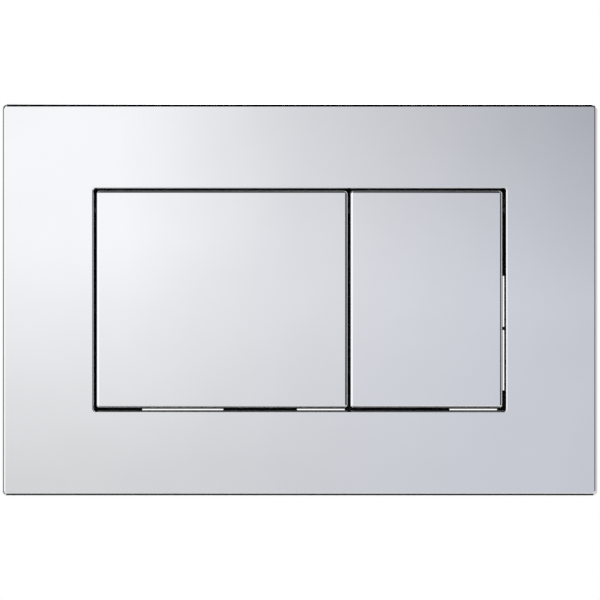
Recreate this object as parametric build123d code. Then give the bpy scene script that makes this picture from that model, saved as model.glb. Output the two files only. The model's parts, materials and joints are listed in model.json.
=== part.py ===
from build123d import *
import math
import os

# Flush button plate for a concealed cistern: a cover with one window, two hinged buttons in it,
# and behind them the carrier, the push rods and the frame that holds it all in the wall opening.
# Millimetres. The wall plane is y = 0 and the room lies towards -Y. X runs to the right, Z up.

# Cover plate
PLATE_WIDTH = 246.0
PLATE_HEIGHT = 162.0
PLATE_DEPTH = 9.0
PLATE_FACE = 2.4
PLATE_SKIRT = 2.0
PLATE_CORNER = 2.2
PLATE_EDGE = 1.5
PLATE_RIB = 1.4
PLATE_RIB_HEIGHT = 3.0
PLATE_RIB_PITCH = 35.0
PLATE_RIBS_PER_SIDE = 2
SIDE_RIB_Z = 28.0
WINDOW_WIDTH = 170.0
WINDOW_HEIGHT = 91.6
WINDOW_CORNER = 0.8
WINDOW_EDGE = 0.7
COLLAR_WALL = 1.8
COLLAR_DEPTH = 6.6

# Snap posts on the cover that hold the carrier's flange
POST_PITCH = 70.0
POST_WIDTH = 10.0
POST_ARM = 1.8
POST_REACH = 1.2
POST_HEIGHT = 1.6
POST_GAP = 0.1
POST_CLEARANCE = 0.2

# Button caps
BUTTON_LEFT_GAP = 0.95
BUTTON_RIGHT_GAP = 1.25
BUTTON_TOP_GAP = 0.6
BUTTON_BOTTOM_GAP = 1.05
BUTTON_MID_GAP = 0.9
HALF_FLUSH_WIDTH = 63.0
CAP_DEPTH = 5.2
CAP_FACE = 1.8
CAP_RIM = 1.5
CAP_CORNER = 1.3
CAP_EDGE = 1.2
CAP_SNAP_LENGTH = 9.0
CAP_SNAP_REACH = 0.6
CAP_SNAP_HEIGHT = 1.0
CAP_SNAP_CLEARANCE = 0.05

# Rockers inside the caps, and their hinges
ROCKER_CLEARANCE = 0.15
ROCKER_PLATE = 2.0
ROCKER_RIB = 1.4
ROCKER_RIB_HEIGHT = 3.8
ROCKER_RIB_INSET = 3.0
ROCKER_RIB_PITCH = 22.0
HINGE_DEPTH = 10.0
HINGE_DROP = 7.5
PIN_RADIUS = 1.5
PIN_SEAT_CLEARANCE = 0.02
PIN_END_CLEARANCE = 0.3
HINGE_CLEARANCE = 0.06
KNUCKLE_RADIUS = 3.4
KNUCKLE_LENGTH = 10.0
KNUCKLE_FOOT = 4.5
KNUCKLE_END_GAP = 0.4
BEARING_WIDTH = 5.0
MID_BEARING_WIDTH = 7.0
PRESS_ANGLE = 6.0
PAD_WIDTH = 9.0
PAD_HEIGHT = 11.0
PAD_DEPTH = 5.7
PAD_CROWN = 20.0
CATCH_INSET = 14.0
CATCH_RISE = 10.8
CATCH_WIDTH = 7.0
CATCH_ARM = 2.0
CATCH_REACH = 1.5
CATCH_HEIGHT = 2.6
CATCH_GAP = 0.3
CATCH_SLOT_CLEARANCE = 0.4

# Carrier tray
POCKET_CLEARANCE = 0.6
TRAY_WALL = 1.8
FLANGE = 2.0
FLANGE_SIDE = 3.1
FLANGE_END = 13.3
FLOOR = 1.8
FLOOR_WINDOW_WIDTH = 20.0
FLOOR_WINDOW_HEIGHT = 24.0
FLOOR_WINDOW_CHAMFER = 3.0
FLOOR_WINDOW_Z = 15.5
DRAIN_LENGTH = 20.0
DRAIN_WIDTH = 0.7
DRAIN_INSET = 11.0
LONG_DRAIN_LENGTH = 34.0
LONG_DRAIN_OFFSET = 17.0
VENT_LENGTH = 48.0
VENT_WIDTH = 1.5
VENT_Z = -14.0
EDGE_BITE = 0.3
FLOOR_RIB = 1.4
FLOOR_RIB_HEIGHT = 2.6
PAD_FOOT_HEIGHT = 2.4
PAD_FOOT_LENGTH = 20.0
PAD_FOOT_WIDTH = 3.0
HOOK_X = 45.0
HOOK_OUTSET = 6.4
HOOK_WIDTH = 9.0
HOOK_ARM = 2.0
HOOK_REACH = 1.3
HOOK_HEIGHT = 3.0
HOOK_GAP = 0.3
HOOK_SLOT_CLEARANCE = 0.5

# Rubber stops on the tray floor
BUFFER_LENGTH = 16.0
BUFFER_WIDTH = 4.0
BUFFER_HEIGHT = 2.0
BUFFER_INSET = 26.0
STOP_GAP = 0.3

# Push rods, springs and tips
ROD_SPACING = 76.0
ROD_Z = -12.0
ROD_RADIUS = 3.5
ROD_HEAD_RADIUS = 7.0
ROD_HEAD_HEIGHT = 2.5
ROD_GAP = 0.3
ROD_LENGTH = 49.2
TIP_RADIUS = 5.0
TIP_LENGTH = 14.0
TIP_GRIP = 8.0
TIP_CLEARANCE = 0.05
CUP_CLEARANCE = 0.6
CUP_WALL = 1.6
CUP_DEPTH = 15.0
CUP_END = 2.0
GUIDE_WALL = 2.0
GUIDE_LENGTH = 6.0
GUIDE_CLEARANCE = 0.1
SPRING_WIRE = 1.0
SPRING_CLEARANCE = 1.0
SPRING_TURNS = 4
SPRING_STEPS = 10
SPRING_WIRE_SIDES = 6
SPRING_END_CLEARANCE = 0.05

# Mounting frame in the wall opening
FRAME_CLEARANCE = 1.2
FRAME_PLATE = 3.0
FRAME_DEPTH = 10.0
FRAME_SIDE = 18.1
FRAME_END = 15.0
FRAME_RIM = 2.0
FRAME_LIP_DEPTH = 7.0
FRAME_CORNER = 6.0
FRAME_RIB = 1.6
FRAME_RIB_DEPTH = 6.0
FRAME_RIB_X = 22.5
FRAME_RIB_Z = 26.0
FRAME_BOSS = 13.0
FRAME_BOSS_DEPTH = 5.0

# Fixing rods and thumb nuts
STUD_RADIUS = 3.0
STUD_CLEARANCE = 0.3
STUD_SPARE = 1.0
COLLAR_FLATS = 10.0
COLLAR_SIDES = 6
COLLAR_LENGTH = 4.0
ANCHOR_RADIUS = 4.0
ANCHOR_LENGTH = 45.0
NUT_RADIUS = 7.0
NUT_HEIGHT = 5.0
NUT_SIDES = 8
NUT_CLEARANCE = 0.05

# How far a fused feature reaches into what carries it
ROOT = 0.4

# Depths
WALL = 0.0
FRONT = WALL - PLATE_DEPTH
FACE_BACK = FRONT + PLATE_FACE
COLLAR_BACK = FRONT + COLLAR_DEPTH
FLANGE_BACK = COLLAR_BACK + FLANGE
CAP_BACK = FRONT + CAP_DEPTH
CAP_INSIDE = FRONT + CAP_FACE
ROCKER_BACK = CAP_INSIDE + ROCKER_PLATE
ROCKER_RIB_BACK = ROCKER_BACK + ROCKER_RIB_HEIGHT
PAD_BACK = ROCKER_BACK + PAD_DEPTH
HINGE_Y = FRONT + HINGE_DEPTH

# Heights and widths shared by the buttons
CAP_TOP = WINDOW_HEIGHT / 2 - BUTTON_TOP_GAP
CAP_HEIGHT = WINDOW_HEIGHT - BUTTON_TOP_GAP - BUTTON_BOTTOM_GAP
CAP_Z = CAP_TOP - CAP_HEIGHT / 2
ROCKER_HEIGHT = CAP_HEIGHT - 2 * (CAP_RIM + ROCKER_CLEARANCE)
STOP_RIB_Z = CAP_Z - ROCKER_HEIGHT / 2 + ROCKER_RIB_INSET
HINGE_Z = CAP_TOP - HINGE_DROP
BUTTONS_LEFT = BUTTON_LEFT_GAP - WINDOW_WIDTH / 2
BUTTONS_RIGHT = WINDOW_WIDTH / 2 - BUTTON_RIGHT_GAP
FULL_FLUSH_WIDTH = BUTTONS_RIGHT - BUTTONS_LEFT - HALF_FLUSH_WIDTH - BUTTON_MID_GAP
FULL_FLUSH_X = BUTTONS_LEFT + FULL_FLUSH_WIDTH / 2
HALF_FLUSH_X = BUTTONS_RIGHT - HALF_FLUSH_WIDTH / 2
SPLIT_X = HALF_FLUSH_X - (HALF_FLUSH_WIDTH + BUTTON_MID_GAP) / 2


def pressed(y, z):
    """Where a point of a button is when the button is fully pressed."""
    angle = math.radians(PRESS_ANGLE)
    dy = y - HINGE_Y
    dz = z - HINGE_Z
    moved_y = HINGE_Y + dy * math.cos(angle) - dz * math.sin(angle)
    moved_z = HINGE_Z + dy * math.sin(angle) + dz * math.cos(angle)
    return moved_y, moved_z


# The tray floor lies where the pressed rockers meet their stops
FLOOR_FRONT = pressed(ROCKER_RIB_BACK, STOP_RIB_Z)[0] + STOP_GAP + BUFFER_HEIGHT
FLOOR_BACK = FLOOR_FRONT + FLOOR
CATCH_Z = STOP_RIB_Z + CATCH_RISE - ROCKER_RIB_INSET
CATCH_FRONT = FLOOR_BACK + CATCH_GAP
CATCH_SWING = (FLOOR_BACK - HINGE_Y) * math.sin(math.radians(PRESS_ANGLE))

# Carrier tray outline
POCKET_X = WINDOW_WIDTH / 2 + POCKET_CLEARANCE
POCKET_Z = WINDOW_HEIGHT / 2 + POCKET_CLEARANCE
HOOK_Z = POCKET_Z + HOOK_OUTSET
FLANGE_Z = POCKET_Z + FLANGE_END

# Push rods
ROD_X = ROD_SPACING / 2
HEAD_FRONT = PAD_BACK + ROD_GAP
HEAD_BACK = HEAD_FRONT + ROD_HEAD_HEIGHT
ROD_BACK = HEAD_FRONT + ROD_LENGTH
TIP_FRONT = ROD_BACK - TIP_GRIP
TIP_BACK = TIP_FRONT + TIP_LENGTH
CROWN_CENTRE = PAD_BACK - PAD_CROWN
PRESS_STROKE = pressed(CROWN_CENTRE, ROD_Z)[0] - CROWN_CENTRE
CUP_RADIUS = ROD_HEAD_RADIUS + CUP_CLEARANCE
CUP_BOTTOM = FLOOR_FRONT + CUP_DEPTH
GUIDE_BACK = CUP_BOTTOM + CUP_END + GUIDE_LENGTH

# Mounting frame and fixing rods
FRAME_FRONT = FLANGE_BACK + PAD_FOOT_HEIGHT
FRAME_BACK = FRAME_FRONT + FRAME_PLATE
OPENING_X = POCKET_X + TRAY_WALL + FRAME_CLEARANCE
OPENING_Z = POCKET_Z + TRAY_WALL + FRAME_CLEARANCE
FRAME_X = OPENING_X + FRAME_SIDE
FRAME_Z = OPENING_Z + FRAME_END
FIXING_X = OPENING_X + FRAME_SIDE / 2
COLLAR_FRONT = FRAME_FRONT + FRAME_BOSS_DEPTH
ANCHOR_FRONT = COLLAR_FRONT + COLLAR_LENGTH
ANCHOR_BACK = ANCHOR_FRONT + ANCHOR_LENGTH
NUT_FRONT = FRAME_FRONT - NUT_HEIGHT
STUD_FRONT = NUT_FRONT - STUD_SPARE

SIDES = (-1, 1)


def plane_at(y):
    """Drawing plane square to Y, seen from the room: its x is X and its y is Z."""
    return Plane.XZ.offset(-y)


def prism(outline, front, back):
    """Solid between two depths, from an outline drawn in X and Z."""
    return extrude(plane_at(back) * outline, amount=back - front)


def bar(profile, x, length):
    """Solid along X from x on, from a side profile drawn in Y and Z."""
    return extrude(Plane.YZ.offset(x) * profile, amount=length)


def turned(points, x, z):
    """Solid turned about a line along Y at x and z, from (radius, depth) points."""
    profile = make_face(Polyline(*points, close=True))
    return Pos(x, 0, z) * revolve(profile, axis=Axis.Y)


def panel(half_x, half_z, corner=0):
    """Rectangle about the centre, with rounded corners where a radius is given."""
    if corner:
        return RectangleRounded(2 * half_x, 2 * half_z, corner)
    return Rectangle(2 * half_x, 2 * half_z)


def front_edges(shape):
    """The outer edges of the face that lies nearest to the room."""
    return shape.faces().sort_by(Axis.Y)[0].outer_wire().edges()


def snap_post(x):
    """Upper snap post of the cover, hooked over the edge of the carrier's flange."""
    inner = FLANGE_Z + POST_CLEARANCE
    catch = FLANGE_BACK + POST_GAP
    profile = make_face(Polyline(
        (FACE_BACK - ROOT, inner),
        (catch, inner),
        (catch, inner - POST_CLEARANCE - POST_REACH),
        (catch + POST_HEIGHT, inner),
        (catch + POST_HEIGHT, inner + POST_ARM),
        (FACE_BACK - ROOT, inner + POST_ARM),
        close=True,
    ))
    return bar(profile, x - POST_WIDTH / 2, POST_WIDTH)


def front_plate():
    """Plated cover: skirted shell, window collar, ribs and the snap posts for the carrier."""
    half_x = PLATE_WIDTH / 2
    half_z = PLATE_HEIGHT / 2
    inner_x = half_x - PLATE_SKIRT
    inner_z = half_z - PLATE_SKIRT
    window_x = WINDOW_WIDTH / 2
    window_z = WINDOW_HEIGHT / 2
    collar_x = window_x + COLLAR_WALL
    collar_z = window_z + COLLAR_WALL

    shell = prism(panel(half_x, half_z, PLATE_CORNER), FRONT, WALL)
    shell = fillet(front_edges(shell), PLATE_EDGE)
    shell -= prism(panel(inner_x, inner_z), FACE_BACK, WALL)
    shell += prism(panel(collar_x, collar_z), FACE_BACK - ROOT, COLLAR_BACK)
    shell -= prism(panel(window_x, window_z, WINDOW_CORNER), FRONT, COLLAR_BACK)
    window_loop = shell.faces().sort_by(Axis.Y)[0].inner_wires()[0]
    shell = fillet(window_loop.edges(), WINDOW_EDGE)

    upright = Rectangle(PLATE_RIB, 2 * inner_z + ROOT)
    cross = Rectangle(2 * inner_x + ROOT, PLATE_RIB)
    rib_places = range(-PLATE_RIBS_PER_SIDE, PLATE_RIBS_PER_SIDE + 1)
    ribs = Sketch() + [Pos(i * PLATE_RIB_PITCH, 0) * upright for i in rib_places]
    ribs += [Pos(0, side * SIDE_RIB_Z) * cross for side in SIDES]
    ribs -= panel(collar_x - ROOT, collar_z - ROOT)
    shell += prism(ribs, FACE_BACK - ROOT, FACE_BACK + PLATE_RIB_HEIGHT)

    for i in (-1, 0, 1):
        post = snap_post(i * POST_PITCH)
        shell += [post, mirror(post, about=Plane.XY)]
    return shell


def cap(x, width):
    """Plated button face with a rim, and snap ridges along the rim that hold the rocker."""
    middle = Pos(x, CAP_Z)
    inner_x = width / 2 - CAP_RIM
    inner_z = CAP_HEIGHT / 2 - CAP_RIM
    shell = prism(middle * panel(width / 2, CAP_HEIGHT / 2, CAP_CORNER), FRONT, CAP_BACK)
    shell = fillet(front_edges(shell), CAP_EDGE)
    shell -= prism(middle * panel(inner_x, inner_z), CAP_INSIDE, CAP_BACK)

    snap_front = ROCKER_BACK + CAP_SNAP_CLEARANCE
    snap_back = snap_front + CAP_SNAP_HEIGHT
    rim_z = CAP_Z + inner_z
    ridge = make_face(Polyline(
        (snap_front, rim_z + ROOT),
        (snap_front, rim_z - CAP_SNAP_REACH),
        (snap_back, rim_z),
        (snap_back, rim_z + ROOT),
        close=True,
    ))
    for place in (-1, 0, 1):
        snap = bar(ridge, x + place * width / 4 - CAP_SNAP_LENGTH / 2, CAP_SNAP_LENGTH)
        shell += [snap, mirror(snap, about=Plane.XY.offset(CAP_Z))]
    return shell


def hinge_bore(x, length, clearance):
    """Round hole along a button's hinge line."""
    return bar(Pos(HINGE_Y, HINGE_Z) * Circle(PIN_RADIUS + clearance), x, length)


def knuckle_profile():
    """Hinge knuckle seen from the side: a barrel on a tapered foot."""
    barrel = Pos(HINGE_Y, HINGE_Z) * Circle(KNUCKLE_RADIUS)
    foot = Line(
        (ROCKER_BACK - ROOT, HINGE_Z - KNUCKLE_FOOT),
        (ROCKER_BACK - ROOT, HINGE_Z + KNUCKLE_FOOT),
    )
    return make_hull([*barrel.edges(), *foot.edges()])


def pad_profile():
    """Push pad seen from the side: a block with a crowned end that rolls on the rod's head."""
    block_middle = (ROCKER_BACK - ROOT + PAD_BACK) / 2
    block = Pos(block_middle, ROD_Z) * Rectangle(PAD_BACK - ROCKER_BACK + ROOT, PAD_HEIGHT)
    return block & (Pos(CROWN_CENTRE, ROD_Z) * Circle(PAD_CROWN))


def catch_profile():
    """Retaining catch seen from the side: an arm through the tray floor with a barb below."""
    top = CATCH_Z + CATCH_ARM / 2
    bottom = CATCH_Z - CATCH_ARM / 2
    back = CATCH_FRONT + CATCH_HEIGHT
    return make_face(Polyline(
        (ROCKER_BACK - ROOT, top),
        (back, top),
        (back, bottom),
        (CATCH_FRONT, bottom - CATCH_REACH),
        (CATCH_FRONT, bottom),
        (ROCKER_BACK - ROOT, bottom),
        close=True,
    ))


def rocker(x, width, rod_x, hinge_left, hinge_right):
    """Moulded inner body of a button: ribbed plate, knuckles, push pad and two retaining catches."""
    plate_x = width / 2 - CAP_RIM - ROCKER_CLEARANCE
    plate_z = ROCKER_HEIGHT / 2
    rim_x = plate_x - ROCKER_RIB_INSET
    rim_z = plate_z - ROCKER_RIB_INSET
    body = prism(Pos(x, CAP_Z) * panel(plate_x, plate_z), CAP_INSIDE, ROCKER_BACK)

    rim = panel(rim_x, rim_z) - panel(rim_x - ROCKER_RIB, rim_z - ROCKER_RIB)
    count = max(1, int((rim_x - ROCKER_RIB) / ROCKER_RIB_PITCH))
    upright = Rectangle(ROCKER_RIB, 2 * rim_z)
    uprights = [Pos(i * ROCKER_RIB_PITCH, 0) * upright for i in range(-count, count + 1)]
    cross = Pos(0, ROD_Z - CAP_Z) * Rectangle(2 * rim_x, ROCKER_RIB)
    ribs = Pos(x, CAP_Z) * (rim + uprights + cross)
    body += prism(ribs, ROCKER_BACK - ROOT, ROCKER_RIB_BACK)

    body += bar(pad_profile(), rod_x - PAD_WIDTH / 2, PAD_WIDTH)

    knuckle = knuckle_profile()
    left = hinge_left + KNUCKLE_END_GAP
    right = hinge_right - KNUCKLE_END_GAP
    body += [bar(knuckle, left, KNUCKLE_LENGTH), bar(knuckle, right - KNUCKLE_LENGTH, KNUCKLE_LENGTH)]
    body -= hinge_bore(left, right - left, HINGE_CLEARANCE)

    catch = catch_profile()
    for side in SIDES:
        body += bar(catch, x + side * (width / 2 - CATCH_INSET) - CATCH_WIDTH / 2, CATCH_WIDTH)
    return body


def hinge_pin(left, right):
    """Steel pin from the carrier's side wall through both knuckles into the middle bearing."""
    return bar(Pos(HINGE_Y, HINGE_Z) * Circle(PIN_RADIUS), left, right - left)


def bearing_profile():
    """Bearing block seen from the side: it grows out of the tray's top wall and floor."""
    back = FLOOR_FRONT + ROOT
    top = POCKET_Z + ROOT
    nose = Pos(HINGE_Y, HINGE_Z) * Circle(KNUCKLE_RADIUS)
    root = Line((HINGE_Y, top), (back, top)) + Line((back, top), (back, HINGE_Z - KNUCKLE_RADIUS))
    return make_hull([*nose.edges(), *root.edges()])


def spring_cup(x):
    """Cup for the return spring behind the floor, with a guide sleeve for the push rod."""
    points = [
        (CUP_RADIUS - ROOT, FLOOR_FRONT),
        (CUP_RADIUS + CUP_WALL, FLOOR_FRONT),
        (CUP_RADIUS + CUP_WALL, CUP_BOTTOM + CUP_END),
        (ROD_RADIUS + GUIDE_CLEARANCE + GUIDE_WALL, CUP_BOTTOM + CUP_END),
        (ROD_RADIUS + GUIDE_CLEARANCE + GUIDE_WALL, GUIDE_BACK),
        (ROD_RADIUS + GUIDE_CLEARANCE - ROOT, GUIDE_BACK),
        (ROD_RADIUS + GUIDE_CLEARANCE - ROOT, CUP_BOTTOM),
        (CUP_RADIUS - ROOT, CUP_BOTTOM),
    ]
    return turned(points, x, ROD_Z)


def snap_hook(x):
    """Upper snap hook with its two feet, which seat the carrier on the mounting frame."""
    inner = HOOK_Z
    outer = HOOK_Z + HOOK_ARM
    catch = FRAME_BACK + HOOK_GAP
    back = catch + HOOK_HEIGHT
    arm = make_face(Polyline(
        (FLANGE_BACK - ROOT, inner),
        (back, inner),
        (back, outer),
        (catch, outer + HOOK_REACH),
        (catch, outer),
        (FLANGE_BACK - ROOT, outer),
        close=True,
    ))
    foot = Pos(x, FLANGE_Z - PAD_FOOT_WIDTH / 2) * Rectangle(PAD_FOOT_LENGTH, PAD_FOOT_WIDTH)
    return [bar(arm, x - HOOK_WIDTH / 2, HOOK_WIDTH), prism(foot, FLANGE_BACK - ROOT, FRAME_FRONT)]


def catch_slots(x, width):
    """Floor slots that a rocker's catches pass and swing in."""
    clearance = CATCH_SLOT_CLEARANCE
    bottom = CATCH_Z - CATCH_ARM / 2 - clearance
    top = CATCH_Z + CATCH_ARM / 2 + CATCH_SWING + clearance
    slot = Rectangle(CATCH_WIDTH + 2 * clearance, top - bottom)
    reach = width / 2 - CATCH_INSET
    outlines = [Pos(x + side * reach, (top + bottom) / 2) * slot for side in SIDES]
    return [prism(outline, FLOOR_FRONT, FLOOR_BACK) for outline in outlines]


def edge_openings():
    """Openings along the tray floor's edges: drains at the bottom, and a vent at the right side."""
    vent_x = POCKET_X - (VENT_WIDTH - EDGE_BITE) / 2
    outlines = [Pos(vent_x, VENT_Z) * Rectangle(VENT_WIDTH + EDGE_BITE, VENT_LENGTH)]
    drain_z = (DRAIN_WIDTH - EDGE_BITE) / 2 - POCKET_Z
    drains = [
        (FULL_FLUSH_X - LONG_DRAIN_OFFSET, LONG_DRAIN_LENGTH),
        (FULL_FLUSH_X + FULL_FLUSH_WIDTH / 2 - DRAIN_INSET, DRAIN_LENGTH),
        (HALF_FLUSH_X + HALF_FLUSH_WIDTH / 2 - DRAIN_INSET, DRAIN_LENGTH),
    ]
    outlines += [Pos(x, drain_z) * Rectangle(length, DRAIN_WIDTH + EDGE_BITE) for x, length in drains]
    return [prism(outline, FLOOR_FRONT, FLOOR_BACK) for outline in outlines]


def button_carrier():
    """Moulded tray behind the window: hinge bearings, stop floor, spring cups and snap hooks."""
    wall_x = POCKET_X + TRAY_WALL
    wall_z = POCKET_Z + TRAY_WALL
    body = prism(panel(wall_x, wall_z), COLLAR_BACK, FLOOR_BACK)
    body += prism(panel(POCKET_X + FLANGE_SIDE, FLANGE_Z), COLLAR_BACK, FLANGE_BACK)
    body -= prism(panel(POCKET_X, POCKET_Z), COLLAR_BACK, FLOOR_FRONT)

    bearing = bearing_profile()
    body += bar(bearing, -POCKET_X - ROOT, BEARING_WIDTH + ROOT)
    body += bar(bearing, SPLIT_X - MID_BEARING_WIDTH / 2, MID_BEARING_WIDTH)
    body += bar(bearing, POCKET_X - BEARING_WIDTH, BEARING_WIDTH + ROOT)
    body -= hinge_bore(-wall_x, 2 * wall_x, PIN_SEAT_CLEARANCE)

    cup_rib_height = POCKET_Z - ROD_Z
    cup_rib = Pos(0, ROD_Z + cup_rib_height / 2) * Rectangle(FLOOR_RIB, cup_rib_height)
    ribs = Pos(SPLIT_X, 0) * Rectangle(FLOOR_RIB, 2 * POCKET_Z)
    ribs += Pos(0, ROD_Z) * Rectangle(2 * POCKET_X + TRAY_WALL, FLOOR_RIB)
    ribs += [Pos(x, 0) * cup_rib for x in (-ROD_X, ROD_X)]
    body += prism(ribs, FLOOR_BACK - ROOT, FLOOR_BACK + FLOOR_RIB_HEIGHT)
    for x in (-ROD_X, ROD_X):
        body += spring_cup(x)
        body -= prism(Pos(x, ROD_Z) * Circle(CUP_RADIUS), FLOOR_FRONT, CUP_BOTTOM)
        body -= prism(Pos(x, ROD_Z) * Circle(ROD_RADIUS + GUIDE_CLEARANCE), CUP_BOTTOM, GUIDE_BACK)

    for x in (-HOOK_X, HOOK_X):
        for upper in snap_hook(x):
            body += [upper, mirror(upper, about=Plane.XY)]

    window = Rectangle(FLOOR_WINDOW_WIDTH, FLOOR_WINDOW_HEIGHT)
    window = chamfer(window.vertices(), FLOOR_WINDOW_CHAMFER)
    window_xs = [FULL_FLUSH_X + side * FULL_FLUSH_WIDTH / 4 for side in SIDES] + [HALF_FLUSH_X]
    body -= [prism(Pos(x, FLOOR_WINDOW_Z) * window, FLOOR_FRONT, FLOOR_BACK) for x in window_xs]
    body -= catch_slots(FULL_FLUSH_X, FULL_FLUSH_WIDTH)
    body -= catch_slots(HALF_FLUSH_X, HALF_FLUSH_WIDTH)
    body -= edge_openings()
    return body


def stop_buffers():
    """Four rubber strips on the tray floor, two below each button, that stop the press."""
    z = STOP_RIB_Z + ROCKER_RIB / 2
    strip = Rectangle(BUFFER_LENGTH, BUFFER_WIDTH)
    strips = []
    for x, width in ((FULL_FLUSH_X, FULL_FLUSH_WIDTH), (HALF_FLUSH_X, HALF_FLUSH_WIDTH)):
        reach = (width - BUFFER_INSET) / 2
        strips += [Pos(x + side * reach, z) * strip for side in SIDES]
    return Compound([prism(outline, FLOOR_FRONT - BUFFER_HEIGHT, FLOOR_FRONT).solid() for outline in strips])


def push_rod(x):
    """Push rod with a flat head that the button's pad presses."""
    points = [
        (0, HEAD_FRONT),
        (ROD_HEAD_RADIUS, HEAD_FRONT),
        (ROD_HEAD_RADIUS, HEAD_BACK),
        (ROD_RADIUS, HEAD_BACK),
        (ROD_RADIUS, ROD_BACK),
        (0, ROD_BACK),
    ]
    return turned(points, x, ROD_Z)


def rod_tip(x):
    """Screwed-on end of a push rod, which sets its length."""
    bore = ROD_RADIUS + TIP_CLEARANCE
    seat = ROD_BACK + TIP_CLEARANCE
    points = [
        (bore, TIP_FRONT),
        (TIP_RADIUS, TIP_FRONT),
        (TIP_RADIUS, TIP_BACK),
        (0, TIP_BACK),
        (0, seat),
        (bore, seat),
    ]
    return turned(points, x, ROD_Z)


def return_spring(x):
    """Compression spring between the push rod's head and the bottom of its cup."""
    wire = SPRING_WIRE / 2
    coil = ROD_RADIUS + SPRING_CLEARANCE + wire
    start = HEAD_BACK + SPRING_END_CLEARANCE + wire
    height = CUP_BOTTOM - SPRING_END_CLEARANCE - wire - start
    steps = SPRING_TURNS * SPRING_STEPS
    points = []
    for step in range(steps + 1):
        angle = math.tau * step / SPRING_STEPS
        y = start + height * step / steps
        points.append((x + coil * math.cos(angle), y, ROD_Z + coil * math.sin(angle)))
    path = Polyline(*points)
    section = Plane(origin=path @ 0, z_dir=path % 0) * RegularPolygon(wire, SPRING_WIRE_SIDES)
    return sweep(section, path=path, transition=Transition.RIGHT)


def mounting_frame():
    """Moulded frame in the wall opening: flanged ring, ribs, slots for the hooks, fixing bosses."""
    outline = panel(FRAME_X, FRAME_Z, FRAME_CORNER)
    opening = panel(OPENING_X, OPENING_Z)
    inside_rim = panel(FRAME_X - FRAME_RIM, FRAME_Z - FRAME_RIM, FRAME_CORNER - FRAME_RIM)
    outside_lip = panel(OPENING_X + FRAME_RIM, OPENING_Z + FRAME_RIM)
    body = prism(outline - opening, FRAME_FRONT, FRAME_BACK)
    body += prism(outline - inside_rim, FRAME_FRONT, FRAME_FRONT + FRAME_DEPTH)
    body += prism(outside_lip - opening, FRAME_FRONT, FRAME_FRONT + FRAME_LIP_DEPTH)

    upright_xs = [side * place * FRAME_RIB_X for side in SIDES for place in (1, 3)]
    uprights = [Pos(x, 0) * Rectangle(FRAME_RIB, 2 * FRAME_Z - FRAME_RIM) for x in upright_xs]
    crosses = [Pos(0, side * FRAME_RIB_Z) * Rectangle(2 * FRAME_X - FRAME_RIM, FRAME_RIB) for side in SIDES]
    ribs = Sketch() + uprights + crosses
    ribs -= panel(OPENING_X + ROOT, OPENING_Z + ROOT)
    body += prism(ribs, FRAME_BACK - ROOT, FRAME_FRONT + FRAME_RIB_DEPTH)

    for x in (-FIXING_X, FIXING_X):
        body += prism(Pos(x, 0) * Rectangle(FRAME_BOSS, FRAME_BOSS), FRAME_BACK - ROOT, COLLAR_FRONT)
        body -= prism(Pos(x, 0) * Circle(STUD_RADIUS + STUD_CLEARANCE), FRAME_FRONT, COLLAR_FRONT)

    slot = Rectangle(HOOK_WIDTH + 2 * HOOK_SLOT_CLEARANCE, HOOK_ARM + 2 * HOOK_SLOT_CLEARANCE)
    slot_z = HOOK_Z + HOOK_ARM / 2
    places = [(x, side * slot_z) for x in (-HOOK_X, HOOK_X) for side in SIDES]
    body -= [prism(Pos(*place) * slot, FRAME_FRONT, FRAME_BACK) for place in places]
    return body


def fixing_rod(x):
    """Distance rod: stud for the thumb nut, hexagonal collar behind the frame, anchor end."""
    points = [
        (0, STUD_FRONT),
        (STUD_RADIUS, STUD_FRONT),
        (STUD_RADIUS, COLLAR_FRONT + ROOT),
        (ANCHOR_RADIUS, COLLAR_FRONT + ROOT),
        (ANCHOR_RADIUS, ANCHOR_BACK),
        (0, ANCHOR_BACK),
    ]
    collar = RegularPolygon(COLLAR_FLATS / 2, COLLAR_SIDES, major_radius=False)
    return turned(points, x, 0) + prism(Pos(x, 0) * collar, COLLAR_FRONT, ANCHOR_FRONT)


def thumb_nut(x):
    """Eight-sided thumb nut that clamps the mounting frame against a fixing rod's collar."""
    grip = RegularPolygon(NUT_RADIUS, NUT_SIDES)
    bore = Circle(STUD_RADIUS + NUT_CLEARANCE)
    return prism(Pos(x, 0) * (grip - bore), NUT_FRONT, FRAME_FRONT)


def all_nodes():
    """Every piece of the plate under its own name."""
    left_bearing = -POCKET_X + BEARING_WIDTH
    right_bearing = POCKET_X - BEARING_WIDTH
    split_left = SPLIT_X - MID_BEARING_WIDTH / 2
    split_right = SPLIT_X + MID_BEARING_WIDTH / 2
    pin_end = POCKET_X + TRAY_WALL - PIN_END_CLEARANCE
    nodes = {
        "front_plate": front_plate(),
        "button_carrier": button_carrier(),
        "stop_buffers": stop_buffers(),
        "mounting_frame": mounting_frame(),
        "full_flush_cap": cap(FULL_FLUSH_X, FULL_FLUSH_WIDTH),
        "half_flush_cap": cap(HALF_FLUSH_X, HALF_FLUSH_WIDTH),
        "full_flush_rocker": rocker(FULL_FLUSH_X, FULL_FLUSH_WIDTH, -ROD_X, left_bearing, split_left),
        "half_flush_rocker": rocker(HALF_FLUSH_X, HALF_FLUSH_WIDTH, ROD_X, split_right, right_bearing),
        "full_flush_hinge_pin": hinge_pin(-pin_end, SPLIT_X - PIN_END_CLEARANCE),
        "half_flush_hinge_pin": hinge_pin(SPLIT_X + PIN_END_CLEARANCE, pin_end),
    }
    for button, x in (("full_flush", -ROD_X), ("half_flush", ROD_X)):
        nodes[f"{button}_push_rod"] = push_rod(x)
        nodes[f"{button}_rod_tip"] = rod_tip(x)
        nodes[f"{button}_spring"] = return_spring(x)
    for side, x in (("left", -FIXING_X), ("right", FIXING_X)):
        nodes[f"fixing_rod_{side}"] = fixing_rod(x)
        nodes[f"thumb_nut_{side}"] = thumb_nut(x)
    return nodes


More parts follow.
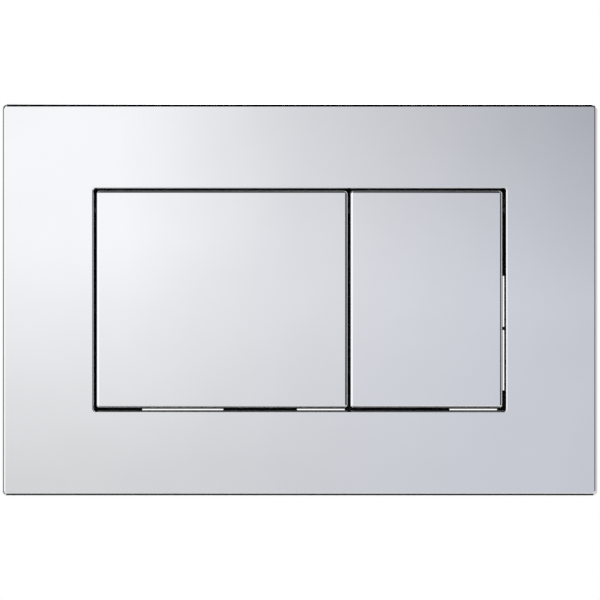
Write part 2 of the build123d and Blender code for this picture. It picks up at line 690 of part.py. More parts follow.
os.makedirs("parts", exist_ok=True)
for node_name, solid in all_nodes().items():
    export_step(solid, f"parts/{node_name}.step")

print("hinge line y, z:", round(HINGE_Y, 4), round(HINGE_Z, 4))
print("push rods x, z:", ROD_X, ROD_Z, "stroke:", round(PRESS_STROKE, 4))
print("rod tip from", round(TIP_FRONT, 4), "to", round(TIP_BACK, 4))
print("fixing rods x:", round(FIXING_X, 4))
print("anchor from", round(ANCHOR_FRONT, 4), "to", round(ANCHOR_BACK, 4))
print("floor from", round(FLOOR_FRONT, 4), "to", round(FLOOR_BACK, 4), "cup bottom", round(CUP_BOTTOM, 4))
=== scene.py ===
import json
import math

import bpy
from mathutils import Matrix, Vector


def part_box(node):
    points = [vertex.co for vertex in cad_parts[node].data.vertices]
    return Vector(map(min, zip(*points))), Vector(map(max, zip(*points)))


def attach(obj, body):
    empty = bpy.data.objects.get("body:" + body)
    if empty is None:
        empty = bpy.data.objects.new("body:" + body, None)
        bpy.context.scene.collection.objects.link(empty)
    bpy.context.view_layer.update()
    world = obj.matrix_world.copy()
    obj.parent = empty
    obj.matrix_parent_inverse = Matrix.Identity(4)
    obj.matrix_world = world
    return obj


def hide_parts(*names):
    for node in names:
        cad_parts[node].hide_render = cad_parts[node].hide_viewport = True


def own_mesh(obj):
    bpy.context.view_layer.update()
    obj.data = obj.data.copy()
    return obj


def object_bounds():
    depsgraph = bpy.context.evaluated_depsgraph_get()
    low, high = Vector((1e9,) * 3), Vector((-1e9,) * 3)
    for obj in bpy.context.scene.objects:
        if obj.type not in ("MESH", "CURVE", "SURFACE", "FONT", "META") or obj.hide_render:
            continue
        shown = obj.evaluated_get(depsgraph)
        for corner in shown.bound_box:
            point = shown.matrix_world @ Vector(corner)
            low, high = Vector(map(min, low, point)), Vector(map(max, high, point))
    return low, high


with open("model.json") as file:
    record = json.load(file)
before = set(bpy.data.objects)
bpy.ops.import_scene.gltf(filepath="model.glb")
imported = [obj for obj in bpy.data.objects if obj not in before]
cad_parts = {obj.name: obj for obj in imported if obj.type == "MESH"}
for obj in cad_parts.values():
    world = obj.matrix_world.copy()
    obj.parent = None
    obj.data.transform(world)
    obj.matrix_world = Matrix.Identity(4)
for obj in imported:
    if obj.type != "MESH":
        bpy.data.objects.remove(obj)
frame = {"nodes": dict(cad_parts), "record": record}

# Flush button plate: the cover and both buttons are polished chrome plating, and behind them are
# moulded plastics, plated rods and steel springs. Lengths are metres, and the room lies towards -Y.
cad_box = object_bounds()
FRONT_FACE = cad_box[0].y

# View: square on to the cover, as wide as the picture is at the cover's face
CAMERA_DISTANCE = 1.1
CAMERA_X = 0.00008
CAMERA_Z = -0.00008
VIEW_WIDTH = 0.2475
SENSOR_WIDTH = 36.0

# Rods, threads and springs, at the places that the CAD nodes have
STUD_RADIUS = 0.003
STUD_PITCH = 0.001
STUD_THREAD = 0.00045
STUD_CHAMFER = 0.0006
ANCHOR_RADIUS = 0.004
ANCHOR_PITCH = 0.00125
ANCHOR_THREAD = 0.0006
ANCHOR_CHAMFER = 0.001
COLLAR_FRONT = 0.007
COLLAR_BACK = 0.011
COLLAR_FLATS = 0.01
COLLAR_CHAMFER = 0.0005
COLLAR_CHAMFER_SLOPE = 1.4
COLLAR_SIDES = 72
ROD_RADIUS = 0.0035
ROD_HEAD_RADIUS = 0.007
ROD_HEAD_HEIGHT = 0.0025
ROD_EDGE = 0.0004
ROD_THREAD_FRONT = 0.0335
ROD_PITCH = 0.0018
ROD_THREAD = 0.0005
TIP_RADIUS = 0.005
TIP_FLUTES = 18
TIP_FLUTE_DEPTH = 0.0004
SIDES_PER_FLUTE = 8
TIP_CHAMFER = 0.0009
WIRE_RADIUS = 0.0005
COIL_RADIUS = 0.005
COIL_TURNS = 8
STEPS_PER_TURN = 40
WIRE_SIDES = 10
STEPS_PER_PITCH = 8
THREAD_STEEPNESS = 3.0
THREAD_ROOT = 0.9
RING_SIDES = 48

# Noise: the range that holds most of its values, and how it is drawn out along an axis
NOISE_LOW = 0.3
NOISE_HIGH = 0.7
ALONG_X = (0.03, 1.0, 1.0)
ALONG_Y = (1.0, 0.05, 1.0)
ALONG_Z = (1.0, 1.0, 0.05)
FLOW_LINES = (1.0, 1.0, 0.3)

# Shading: edges over SHARP_ANGLE stay sharp, or over SPLIT_ANGLE on turned and wound pieces, and faces
# whose areas differ by more than FACE_AREA_STEP count by size
SHARP_ANGLE = math.radians(35)
SPLIT_ANGLE = math.radians(38)
FACE_AREA_STEP = 0.000001
FACE_AREA_WEIGHT = 100
WELD_DISTANCE = 0.000001

# Broken edges
ROUNDING_ANGLE = math.radians(40)
ROUNDING_SEGMENTS = 2
EDGE_WIDTHS = {
    "button_carrier": 0.0002,
    "mounting_frame": 0.00025,
    "full_flush_rocker": 0.0002,
    "half_flush_rocker": 0.0002,
    "thumb_nut_left": 0.0004,
    "thumb_nut_right": 0.0004,
    "stop_buffers": 0.0004,
    "full_flush_hinge_pin": 0.0002,
    "half_flush_hinge_pin": 0.0002,
}

# Studio floor and light: a cool grey gains blue, and loses RED_LOSS of that share in red
FLOOR_Z = -0.3
FLOOR_RADIUS = 4.0
FLOOR_SIDES = 96
FLOOR_FADE = (1.0, 1.5)
FLOOR_COLOUR = (0.8, 0.8, 0.8, 1.0)
WHITE = (1.0, 1.0, 1.0, 1.0)
FILL_STRENGTH = 0.4
RED_LOSS = 0.25

# Graduated card, which glows and shows in reflections only: painted light and shade, with the levels of
# its lit white left and its shaded grey right side, and where they change, as shares of the view's height
# and width
CARD_DISTANCE = 1.6
CARD_HALF = 0.36
CARD_TOP = 0.56
CARD_LIT_SIDE = 1.05
CARD_LIT_SIDE_FOOT = 0.75
CARD_LIT_SIDE_RISE = (0.2, 0.6)
CARD_SHADED_SIDE = 0.65
CARD_SHADED_SIDE_TOP = 0.47
CARD_SHADED_SIDE_DROP = (0.5, 0.8)
CARD_LIGHT_FALL = ((0.2, 0.0), (0.5, 0.5), (1.0, 1.0))
LIT_SIDE_COOL = 0.01
SHADED_SIDE_COOL = 0.1

# Flags and strips, and their directions in the picture
ARCH_RADIUS = 1.9
ARCH_HALF_WIDTH = 0.36
ARCH_STEPS = 24
CORNER_RADIUS = 1.4
CORNER_HALF_WIDTH = 0.6
STRIP_REACH = 0.03
FLAG_LIFT = 0.01
UP = (0.0, 0.0, 1.0)
LEFT = (-1.0, 0.0, 0.0)
RIGHT = (1.0, 0.0, 0.0)
UPPER_LEFT = (-1.0, 0.0, 1.0)
UPPER_RIGHT = (1.0, 0.0, 1.0)
INTO_WALL = Vector((0.0, 1.0, 0.0))


# Materials

def new_material(name):
    """A material with its node tree and its main shader."""
    material = bpy.data.materials.new(name)
    material.use_nodes = True
    tree = material.node_tree
    return material, tree, tree.nodes["Principled BSDF"]


def add(tree, kind, inputs=None, **properties):
    """A new node with some of its inputs and properties set."""
    node = tree.nodes.new(kind)
    for name, value in properties.items():
        setattr(node, name, value)
    for name, value in (inputs or {}).items():
        node.inputs[name].default_value = value
    return node


def noise(tree, scale, detail=3.0, stretch=(1.0, 1.0, 1.0)):
    """Noise over the object's own coordinates, drawn out along the axes with a small stretch value."""
    place = add(tree, "ShaderNodeTexCoord")
    mapping = add(tree, "ShaderNodeMapping", {"Scale": stretch})
    texture = add(tree, "ShaderNodeTexNoise", {"Scale": scale, "Detail": detail})
    tree.links.new(place.outputs["Object"], mapping.inputs["Vector"])
    tree.links.new(mapping.outputs["Vector"], texture.inputs["Vector"])
    return texture.outputs["Fac"]


def ramp(tree, factor, stops):
    """Colour ramp over a factor, from (position, colour) stops."""
    node = add(tree, "ShaderNodeValToRGB")
    elements = node.color_ramp.elements
    while len(elements) < len(stops):
        elements.new(0.5)
    for element, (position, colour) in zip(elements, stops):
        element.position = position
        element.color = (*colour, 1.0)
    tree.links.new(factor, node.inputs["Fac"])
    return node.outputs["Color"]


def spread(tree, factor, low, high):
    """A factor's middle range mapped to low and high."""
    limits = {"From Min": NOISE_LOW, "From Max": NOISE_HIGH, "To Min": low, "To Max": high}
    node = add(tree, "ShaderNodeMapRange", limits)
    tree.links.new(factor, node.inputs["Value"])
    return node.outputs["Result"]


def bump(tree, height, distance, strength=1.0, under=None):
    """Bump of a given depth, on top of another bump where one is given."""
    node = add(tree, "ShaderNodeBump", {"Strength": strength, "Distance": distance})
    tree.links.new(height, node.inputs["Height"])
    if under:
        tree.links.new(under, node.inputs["Normal"])
    return node.outputs["Normal"]


def chrome():
    """Polished plating over moulded plastic: a faint waviness and barely visible polishing marks."""
    material, tree, shader = new_material("chrome_plating")
    shader.inputs["Metallic"].default_value = 1.0
    cloud = noise(tree, scale=35.0)
    tint = ramp(tree, cloud, [(0.35, (0.862, 0.868, 0.88)), (0.65, (0.878, 0.884, 0.896))])
    tree.links.new(tint, shader.inputs["Base Color"])
    marks = noise(tree, scale=900.0, detail=4.0, stretch=ALONG_Z)
    tree.links.new(spread(tree, marks, low=0.035, high=0.06), shader.inputs["Roughness"])
    wave = bump(tree, noise(tree, scale=45.0, detail=1.0), distance=0.000012)
    polish = bump(tree, marks, distance=0.0000002, strength=0.5, under=wave)
    tree.links.new(polish, shader.inputs["Normal"])
    return material


def moulded(name, dark, light, roughness, grain=2200.0, depth=0.000012, specular=0.5):
    """Moulded plastic: cloudy colour, an eroded grain and patches of differing gloss."""
    material, tree, shader = new_material(name)
    cloud = noise(tree, scale=70.0, detail=5.0)
    tint = ramp(tree, cloud, [(NOISE_LOW, dark), (NOISE_HIGH, light)])
    tree.links.new(tint, shader.inputs["Base Color"])
    tree.links.new(spread(tree, noise(tree, scale=160.0), *roughness), shader.inputs["Roughness"])
    ripple = noise(tree, scale=130.0, detail=1.0, stretch=FLOW_LINES)
    flow = bump(tree, ripple, distance=0.00003, strength=0.4)
    erosion = noise(tree, scale=grain, detail=2.0)
    skin = bump(tree, erosion, distance=depth, strength=0.6, under=flow)
    tree.links.new(skin, shader.inputs["Normal"])
    shader.inputs["Specular IOR Level"].default_value = specular
    return material


def metal(name, dark, light, roughness, scale, stretch, depth):
    """Bare or plated steel with drawing or turning lines."""
    material, tree, shader = new_material(name)
    shader.inputs["Metallic"].default_value = 1.0
    lines = noise(tree, scale, stretch=stretch)
    cloud = noise(tree, scale=220.0, detail=4.0)
    tint = ramp(tree, cloud, [(NOISE_LOW, dark), (NOISE_HIGH, light)])
    tree.links.new(tint, shader.inputs["Base Color"])
    tree.links.new(spread(tree, lines, *roughness), shader.inputs["Roughness"])
    tree.links.new(bump(tree, lines, distance=depth, strength=0.5), shader.inputs["Normal"])
    return material


slot_materials = {
    "chrome_plating": chrome(),
    "black_plastic": moulded("black_plastic", (0.017, 0.017, 0.018), (0.03, 0.03, 0.032), (0.36, 0.5)),
    "grey_plastic": moulded("grey_plastic", (0.14, 0.145, 0.15), (0.18, 0.185, 0.19), (0.4, 0.55)),
    "white_plastic": moulded("white_plastic", (0.74, 0.74, 0.71), (0.8, 0.8, 0.775), (0.42, 0.55),
                             grain=1800.0),
    "rod_plastic": moulded("rod_plastic", (0.8, 0.8, 0.78), (0.85, 0.85, 0.83), (0.22, 0.32),
                           grain=3000.0, depth=0.000004),
    "tip_plastic": moulded("tip_plastic", (0.17, 0.28, 0.4), (0.21, 0.33, 0.46), (0.4, 0.52)),
    "plated_steel": metal("plated_steel", (0.6, 0.62, 0.65), (0.69, 0.69, 0.68), (0.22, 0.38),
                          scale=1500.0, stretch=ALONG_Y, depth=0.000003),
    "bright_steel": metal("bright_steel", (0.66, 0.66, 0.66), (0.72, 0.72, 0.72), (0.16, 0.28),
                          scale=2500.0, stretch=ALONG_X, depth=0.000002),
    "buffer_rubber": moulded("buffer_rubber", (0.014, 0.014, 0.014), (0.026, 0.026, 0.025), (0.65, 0.85),
                             grain=3200.0, depth=0.00002, specular=0.3),
}


def dress(piece, slot):
    """Give a piece the one material of its slot."""
    piece.data.materials.clear()
    piece.data.materials.append(slot_materials[slot])


for subpart in frame["record"]["subparts"]:
    dress(frame["nodes"][subpart["node"]], subpart["material_slot"])


# Edges and shading of the moulded and plated nodes

def smooth_by_angle():
    """Geometry group that shades faces smoothly and keeps the edges over SHARP_ANGLE sharp."""
    tree = bpy.data.node_groups.new("smooth_by_angle", "GeometryNodeTree")
    tree.interface.new_socket("Geometry", in_out="INPUT", socket_type="NodeSocketGeometry")
    tree.interface.new_socket("Geometry", in_out="OUTPUT", socket_type="NodeSocketGeometry")
    source = add(tree, "NodeGroupInput")
    faces = add(tree, "GeometryNodeSetShadeSmooth")
    edges = add(tree, "GeometryNodeSetShadeSmooth", domain="EDGE")
    angle = add(tree, "GeometryNodeInputMeshEdgeAngle")
    gentle = add(tree, "FunctionNodeCompare", {"B": SHARP_ANGLE}, operation="LESS_THAN")
    sink = add(tree, "NodeGroupOutput")
    tree.links.new(source.outputs["Geometry"], faces.inputs["Geometry"])
    tree.links.new(faces.outputs["Geometry"], edges.inputs["Geometry"])
    tree.links.new(angle.outputs["Unsigned Angle"], gentle.inputs["A"])
    tree.links.new(gentle.outputs["Result"], edges.inputs["Shade Smooth"])
    tree.links.new(edges.outputs["Geometry"], sink.inputs["Geometry"])
    return tree


smooth_group = smooth_by_angle()


def soften(node, width=None):
    """Shade a node's rounded forms smoothly, with its sharp edges broken where a width is given."""
    piece = frame["nodes"][node]
    weld = piece.modifiers.new("weld", "WELD")
    weld.merge_threshold = WELD_DISTANCE
    if width:
        rounding = piece.modifiers.new("rounding", "BEVEL")
        rounding.width = width
        rounding.segments = ROUNDING_SEGMENTS
        rounding.limit_method = "ANGLE"
        rounding.angle_limit = ROUNDING_ANGLE
        rounding.use_clamp_overlap = True
    smoothing = piece.modifiers.new("smoothing", "NODES")
    smoothing.node_group = smooth_group
    shading = piece.modifiers.new("shading", "WEIGHTED_NORMAL")
    shading.weight = FACE_AREA_WEIGHT
    shading.thresh = FACE_AREA_STEP
    shading.keep_sharp = True


for node in ("front_plate", "full_flush_cap", "half_flush_cap"):
    soften(node)
for node, width in EDGE_WIDTHS.items():
    soften(node, width)


# Turned and wound pieces

def new_piece(name, slot, body, stands_for, vertices, faces):
    """A smooth mesh piece that rides on a body in place of a CAD node."""
    mesh = bpy.data.meshes.new(name)
    mesh.from_pydata(vertices, [], faces)
    mesh.validate()
    mesh.polygons.foreach_set("use_smooth", [True] * len(mesh.polygons))
    piece = bpy.data.objects.new(name, mesh)
    bpy.context.scene.collection.objects.link(piece)
    dress(piece, slot)
    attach(piece, body)
    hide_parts(stands_for)
    split = piece.modifiers.new("edges", "EDGE_SPLIT")
    split.split_angle = SPLIT_ANGLE
    return piece


def ring_faces(rings, sides, first=0):
    """Faces between stacked rings of points, closed at both ends."""
    faces = []
    for ring in range(rings - 1):
        low = first + ring * sides
        for side in range(sides):
            after = (side + 1) % sides
            faces.append((low + side, low + after, low + sides + after, low + sides + side))
    last = first + (rings - 1) * sides
    faces.append(tuple(first + side for side in reversed(range(sides))))
    faces.append(tuple(last + side for side in range(sides)))
    return faces


def lathe(x, z, rings, sides=RING_SIDES):
    """Closed body about a line along Y, from (depth, radius or radius by angle) rings."""
    vertices = []
    for depth, radius in rings:
        for side in range(sides):
            angle = math.tau * side / sides
            reach = radius(angle) if callable(radius) else radius
            vertices.append((x + reach * math.cos(angle), depth, z + reach * math.sin(angle)))
    return vertices, ring_faces(len(rings), sides)


def combined(*bodies):
    """Several closed bodies as the points and faces of one mesh."""
    vertices = []
    faces = []
    for body_vertices, body_faces in bodies:
        first = len(vertices)
        vertices += body_vertices
        faces += [tuple(first + index for index in face) for face in body_faces]
    return vertices, faces


def thread_rings(front, back, crest, groove, pitch, chamfers):
    """Rings of a screw thread between two depths, with each end's chamfer."""
    steps = math.ceil((back - front) / pitch * STEPS_PER_PITCH)
    rings = []
    for step in range(steps + 1):
        depth = front + (back - front) * step / steps
        from_front = depth - front
        from_back = back - depth
        limit = crest - max(0.0, chamfers[0] - from_front, chamfers[1] - from_back)

        def radius(angle, depth=depth, limit=limit):
            phase = (depth / pitch - angle / math.tau) % 1.0
            ridge = min(1.0, max(0.0, THREAD_STEEPNESS * abs(2.0 * phase - 1.0) - THREAD_ROOT))
            return min(limit, crest - groove * (1.0 - ridge))

        rings.append((depth, radius))
    return rings


def hexagon(angle):
    """Half width of the hexagonal collar at an angle, with a corner on the X axis."""
    return COLLAR_FLATS / 2 / math.cos(angle % (math.pi / 3) - math.pi / 6)


def collar_rings():
    """Rings of the hexagonal collar, with the round chamfers of a turned nut."""
    rings = []
    for depth, cut in ((COLLAR_FRONT, COLLAR_CHAMFER), (COLLAR_FRONT + COLLAR_CHAMFER, 0.0),
                       (COLLAR_BACK - COLLAR_CHAMFER, 0.0), (COLLAR_BACK, COLLAR_CHAMFER)):
        limit = COLLAR_FLATS / math.sqrt(3) - COLLAR_CHAMFER_SLOPE * cut
        rings.append((depth, lambda angle, limit=limit: min(limit, hexagon(angle))))
    return rings


def axis_of(node):
    """Where the line along Y through a node's middle lies, and the node's two ends."""
    low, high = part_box(node)
    return (low.x + high.x) / 2, (low.z + high.z) / 2, low.y, high.y


def fixing_rod(side):
    """Threaded rod with a hexagonal collar between its two threads."""
    x, z, front, back = axis_of(f"fixing_rod_{side}")
    stud_ends = (STUD_CHAMFER, 0.0)
    stud = thread_rings(front, COLLAR_FRONT, STUD_RADIUS, STUD_THREAD, STUD_PITCH, stud_ends)
    anchor_ends = (0.0, ANCHOR_CHAMFER)
    anchor = thread_rings(COLLAR_BACK, back, ANCHOR_RADIUS, ANCHOR_THREAD, ANCHOR_PITCH, anchor_ends)
    shape = combined(lathe(x, z, stud), lathe(x, z, collar_rings(), COLLAR_SIDES), lathe(x, z, anchor))
    new_piece(f"threaded_fixing_rod_{side}", "plated_steel", "plate", f"fixing_rod_{side}", *shape)


def rounded_rings(front, back, radius, edge):
    """Rings of a plain round stretch with both edges broken."""
    return [(front, radius - edge), (front + edge, radius), (back - edge, radius), (back, radius - edge)]


def coil(x, z, front, back):
    """Spring wire: closed end turns, and open turns between them."""
    steps = COIL_TURNS * STEPS_PER_TURN
    closed = 2 * WIRE_RADIUS
    free = back - front - 2 * WIRE_RADIUS - 2 * closed
    vertices = []
    for step in range(steps + 1):
        turn = COIL_TURNS * step / steps
        share = min(1.0, max(0.0, (turn - 1.0) / (COIL_TURNS - 2.0)))
        rise = min(turn, 1.0) * closed + max(0.0, turn - COIL_TURNS + 1.0) * closed + share * free
        angle = math.tau * turn
        outward = Vector((math.cos(angle), 0.0, math.sin(angle)))
        centre = Vector((x, front + WIRE_RADIUS + rise, z)) + COIL_RADIUS * outward
        for side in range(WIRE_SIDES):
            around = math.tau * side / WIRE_SIDES
            offset = math.cos(around) * outward + math.sin(around) * INTO_WALL
            vertices.append(tuple(centre + WIRE_RADIUS * offset))
    return vertices, ring_faces(steps + 1, WIRE_SIDES)


def push_rod(button):
    """Push rod with a round head, a plain stem and a threaded end."""
    x, z, front, back = axis_of(f"{button}_push_rod")
    head_back = front + ROD_HEAD_HEIGHT
    head = lathe(x, z, rounded_rings(front, head_back, ROD_HEAD_RADIUS, ROD_EDGE))
    stem = lathe(x, z, [(head_back, ROD_RADIUS), (ROD_THREAD_FRONT, ROD_RADIUS)])
    rings = thread_rings(ROD_THREAD_FRONT, back, ROD_RADIUS, ROD_THREAD, ROD_PITCH, (0.0, 0.0))
    shape = combined(head, stem, lathe(x, z, rings))
    new_piece(f"threaded_{button}_push_rod", "rod_plastic", f"{button}_rod", f"{button}_push_rod", *shape)


def fluted(angle):
    """Radius of a rod tip's grip at an angle."""
    return TIP_RADIUS - TIP_FLUTE_DEPTH * (0.5 - 0.5 * math.cos(TIP_FLUTES * angle))


def rod_tip(button):
    """Screwed-on rod tip with a fluted grip and chamfered ends."""
    x, z, front, back = axis_of(f"{button}_rod_tip")
    rings = [
        (front, TIP_RADIUS - TIP_CHAMFER),
        (front + TIP_CHAMFER, fluted),
        (back - 2 * TIP_CHAMFER, fluted),
        (back, TIP_RADIUS - 2 * TIP_CHAMFER),
    ]
    shape = lathe(x, z, rings, SIDES_PER_FLUTE * TIP_FLUTES)
    new_piece(f"fluted_{button}_rod_tip", "tip_plastic", f"{button}_rod", f"{button}_rod_tip", *shape)


def return_spring(button):
    """Spring round a push rod, a fixed coil with its own mesh; the real spring shortens towards the cup's
    bottom as the rod slides.
    """
    x, z, _, _ = axis_of(f"{button}_push_rod")
    _, _, front, back = axis_of(f"{button}_spring")
    shape = coil(x, z, front, back)
    wire = new_piece(f"wound_{button}_spring", "bright_steel", "plate", f"{button}_spring", *shape)
    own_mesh(wire)


for side in ("left", "right"):
    fixing_rod(side)
for button in ("full_flush", "half_flush"):
    push_rod(button)
    rod_tip(button)
    return_spring(button)


# Studio: floor, graduated card behind the camera, flags and strips, lamps, surroundings, camera

def stage_object(name, vertices, faces, material, reflected_only=False):
    """A piece of the studio, which may show in reflections only."""
    mesh = bpy.data.meshes.new(name)
    mesh.from_pydata(vertices, [], faces)
    mesh.materials.append(material)
    thing = bpy.data.objects.new(name, mesh)
    bpy.context.scene.collection.objects.link(thing)
    if reflected_only:
        thing.visible_camera = False
        thing.visible_diffuse = False
        thing.visible_shadow = False
        thing.visible_transmission = False


def emission_material(name):
    """A material whose output is one emission node."""
    material, tree, shader = new_material(name)
    tree.nodes.remove(shader)
    glow = add(tree, "ShaderNodeEmission")
    tree.links.new(glow.outputs["Emission"], tree.nodes["Material Output"].inputs["Surface"])
    return material, tree, glow


def shown_rays(tree):
    """1 for rays that show the background: from the camera, in reflections and through glass."""
    path = add(tree, "ShaderNodeLightPath")
    total = path.outputs["Is Camera Ray"]
    for name in ("Is Glossy Ray", "Is Transmission Ray"):
        node = add(tree, "ShaderNodeMath", operation="MAXIMUM")
        tree.links.new(total, node.inputs[0])
        tree.links.new(path.outputs[name], node.inputs[1])
        total = node.outputs["Value"]
    return total


def floor_material():
    """Pale floor that fades into the white surroundings and is open from below."""
    material, tree, shader = new_material("studio_floor")
    tree.nodes.remove(shader)
    pale = add(tree, "ShaderNodeBsdfDiffuse", {"Color": FLOOR_COLOUR})
    white = add(tree, "ShaderNodeEmission")
    clear = add(tree, "ShaderNodeBsdfTransparent")
    place = add(tree, "ShaderNodeTexCoord")
    reach = add(tree, "ShaderNodeVectorMath", operation="LENGTH")
    fade = add(tree, "ShaderNodeMapRange", {"From Min": FLOOR_FADE[0], "From Max": FLOOR_FADE[1]},
               interpolation_type="SMOOTHSTEP")
    share = add(tree, "ShaderNodeMath", operation="MULTIPLY")
    upper = add(tree, "ShaderNodeMixShader")
    both = add(tree, "ShaderNodeMixShader")
    side = add(tree, "ShaderNodeNewGeometry")
    tree.links.new(place.outputs["Object"], reach.inputs[0])
    tree.links.new(reach.outputs["Value"], fade.inputs["Value"])
    tree.links.new(fade.outputs["Result"], share.inputs[0])
    tree.links.new(shown_rays(tree), share.inputs[1])
    tree.links.new(share.outputs["Value"], upper.inputs["Fac"])
    tree.links.new(pale.outputs["BSDF"], upper.inputs[1])
    tree.links.new(white.outputs["Emission"], upper.inputs[2])
    tree.links.new(side.outputs["Backfacing"], both.inputs["Fac"])
    tree.links.new(upper.outputs["Shader"], both.inputs[1])
    tree.links.new(clear.outputs["BSDF"], both.inputs[2])
    tree.links.new(both.outputs["Shader"], tree.nodes["Material Output"].inputs["Surface"])
    return material


def grey(level, cool=0.0):
    """A grey of a given level, a little bluer where cool is above 0."""
    return (level * (1.0 - RED_LOSS * cool), level, level * (1.0 + cool))


def card_material():
    """Graduated card that glows in painted light and shade: lit white with a darker foot on its left,
    shaded cool grey with a darker top on its right.
    """
    material, tree, glow = emission_material("graduated_card")
    place = add(tree, "ShaderNodeTexCoord")
    axes = add(tree, "ShaderNodeSeparateXYZ")
    tree.links.new(place.outputs["Object"], axes.inputs["Vector"])
    half_view = VIEW_WIDTH / 2 * (CAMERA_DISTANCE + CARD_DISTANCE) / CAMERA_DISTANCE
    across = add(tree, "ShaderNodeMapRange", {"From Min": -half_view, "From Max": half_view})
    upward = add(tree, "ShaderNodeMapRange", {"From Min": -half_view, "From Max": half_view})
    tree.links.new(axes.outputs["X"], across.inputs["Value"])
    tree.links.new(axes.outputs["Z"], upward.inputs["Value"])
    # Painted light and shade: a lit side and a shaded side of one card, mixed across it as the light drops
    # off
    lit_levels = (grey(CARD_LIT_SIDE_FOOT, LIT_SIDE_COOL), grey(CARD_LIT_SIDE, LIT_SIDE_COOL))
    lit = ramp(tree, upward.outputs["Result"], list(zip(CARD_LIT_SIDE_RISE, lit_levels)))
    shaded_levels = (grey(CARD_SHADED_SIDE, SHADED_SIDE_COOL), grey(CARD_SHADED_SIDE_TOP, SHADED_SIDE_COOL))
    shaded = ramp(tree, upward.outputs["Result"], list(zip(CARD_SHADED_SIDE_DROP, shaded_levels)))
    fall = ramp(tree, across.outputs["Result"], [(position, grey(share)) for position, share in CARD_LIGHT_FALL])
    mixed = add(tree, "ShaderNodeMix", data_type="RGBA", clamp_factor=True)
    tree.links.new(fall, mixed.inputs["Factor"])
    tree.links.new(lit, mixed.inputs["A"])
    tree.links.new(shaded, mixed.inputs["B"])
    tree.links.new(mixed.outputs["Result"], glow.inputs["Color"])
    return material


def flag_material(name, level, cool=0.0):
    """Plain surface of a studio flag or card."""
    material, _, glow = emission_material(name)
    glow.inputs["Color"].default_value = (*grey(level, cool), 1.0)
    return material


def arch(name, direction, span, level, cool=0.0, radius=ARCH_RADIUS, centre=(0.0, 0.0, 0.0),
         half_width=ARCH_HALF_WIDTH):
    """Curved strip round the object that shows in reflections only, a flag or a card by its grey level.

    Its angles start at the line from its centre towards the room and grow towards the given direction.
    """
    out = Vector(direction).normalized()
    across = out.cross(INTO_WALL)
    vertices = []
    for step in range(ARCH_STEPS + 1):
        angle = math.radians(span[0] + (span[1] - span[0]) * step / ARCH_STEPS)
        middle = Vector(centre) + radius * (math.sin(angle) * out - math.cos(angle) * INTO_WALL)
        for side in (-1.0, 1.0):
            vertices.append(tuple(middle + side * half_width * across))
    faces = [(2 * step, 2 * step + 1, 2 * step + 3, 2 * step + 2) for step in range(ARCH_STEPS)]
    stage_object(name, vertices, faces, flag_material(name, level, cool), reflected_only=True)


def edge_strip(name, direction, span, level, radius):
    """Narrow upright strip beside the cover's left or right edge, a little longer than that edge."""
    centre = (direction[0] * cad_box[1].x, FRONT_FACE, 0.0)
    half_length = cad_box[1].z + STRIP_REACH
    arch(name, direction, span, level, radius=radius, centre=centre, half_width=half_length)


def floor_flag(name, near, far, half_width, level):
    """Flat dark strip over the floor, below and in front of the object, shown in reflections only."""
    corners = ((-half_width, near), (half_width, near), (half_width, far), (-half_width, far))
    vertices = [(x, y, FLOOR_Z + FLAG_LIFT) for x, y in corners]
    stage_object(name, vertices, [(0, 1, 2, 3)], flag_material(name, level), reflected_only=True)


def card():
    """The graduated card stands behind the camera, parallel to the cover."""
    corners = (
        (-CARD_HALF, -CARD_HALF),
        (CARD_HALF, -CARD_HALF),
        (CARD_HALF, CARD_TOP),
        (-CARD_HALF, CARD_TOP),
    )
    vertices = [(x, FRONT_FACE - CARD_DISTANCE, z) for x, z in corners]
    stage_object("graduated_card", vertices, [(0, 1, 2, 3)], card_material(), reflected_only=True)


def floor():
    """Round pale floor below the object."""
    vertices = []
    for side in range(FLOOR_SIDES):
        angle = math.tau * side / FLOOR_SIDES
        vertices.append((FLOOR_RADIUS * math.cos(angle), FLOOR_RADIUS * math.sin(angle), FLOOR_Z))
    stage_object("studio_floor", vertices, [tuple(range(FLOOR_SIDES))], floor_material())


def lamp(name, location, size, power):
    """Soft square lamp that faces the object."""
    light = bpy.data.lights.new(name, "AREA")
    light.size = size
    light.energy = power
    thing = bpy.data.objects.new(name, light)
    thing.location = location
    thing.rotation_euler = Vector(location).to_track_quat("Z", "Y").to_euler()
    bpy.context.scene.collection.objects.link(thing)


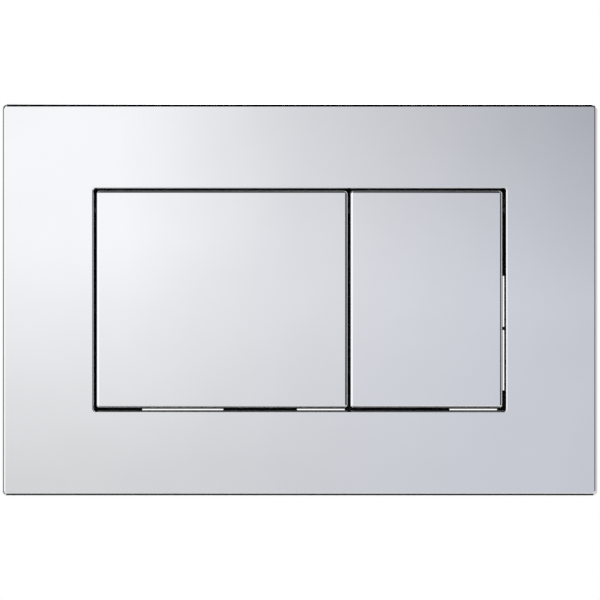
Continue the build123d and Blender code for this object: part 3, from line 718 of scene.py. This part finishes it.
def surroundings():
    """White to the eye and in reflections, and a plain soft fill light."""
    world = bpy.data.worlds.new("studio")
    world.use_nodes = True
    tree = world.node_tree
    tree.nodes.clear()
    shown = add(tree, "ShaderNodeBackground", {"Color": WHITE, "Strength": 1.0})
    fill = add(tree, "ShaderNodeBackground", {"Color": WHITE, "Strength": FILL_STRENGTH})
    mixed = add(tree, "ShaderNodeMixShader")
    output = add(tree, "ShaderNodeOutputWorld")
    tree.links.new(shown_rays(tree), mixed.inputs["Fac"])
    tree.links.new(fill.outputs["Background"], mixed.inputs[1])
    tree.links.new(shown.outputs["Background"], mixed.inputs[2])
    tree.links.new(mixed.outputs["Shader"], output.inputs["Surface"])
    bpy.context.scene.world = world


def camera():
    """Square on to the cover."""
    data = bpy.data.cameras.new("camera")
    data.sensor_width = SENSOR_WIDTH
    data.lens = SENSOR_WIDTH * CAMERA_DISTANCE / VIEW_WIDTH
    thing = bpy.data.objects.new("camera", data)
    thing.location = (CAMERA_X, FRONT_FACE - CAMERA_DISTANCE, CAMERA_Z)
    thing.rotation_euler = (math.pi / 2, 0.0, 0.0)
    bpy.context.scene.collection.objects.link(thing)
    bpy.context.scene.camera = thing


floor()
card()
arch("upper_flag", UP, span=(16, 98), level=0.003)
arch("overhead_card", UP, span=(98, 125), level=1.05)
arch("right_flag", RIGHT, span=(10, 85), level=0.04, cool=0.06)
edge_strip("right_light_strip", RIGHT, span=(38, 125), level=0.72, radius=0.04)
arch("left_card", LEFT, span=(13, 88), level=1.15)
edge_strip("left_dark_strip", LEFT, span=(45, 83), level=0.06, radius=0.012)
arch("upper_left_flag", UPPER_LEFT, span=(40, 88), level=0.04, radius=CORNER_RADIUS,
     half_width=CORNER_HALF_WIDTH)
arch("upper_right_flag", UPPER_RIGHT, span=(20, 80), level=0.02, radius=CORNER_RADIUS)
floor_flag("lower_flag", near=0.03, far=-0.25, half_width=0.2, level=0.004)
lamp("key_lamp", location=(-1.0, -1.2, 1.2), size=1.0, power=16.0)
lamp("top_lamp", location=(0.3, 0.8, 1.5), size=1.0, power=9.0)
lamp("rear_lamp", location=(0.9, 1.3, 0.7), size=1.0, power=14.0)
surroundings()
camera()
bpy.context.scene.view_settings.view_transform = "Standard"
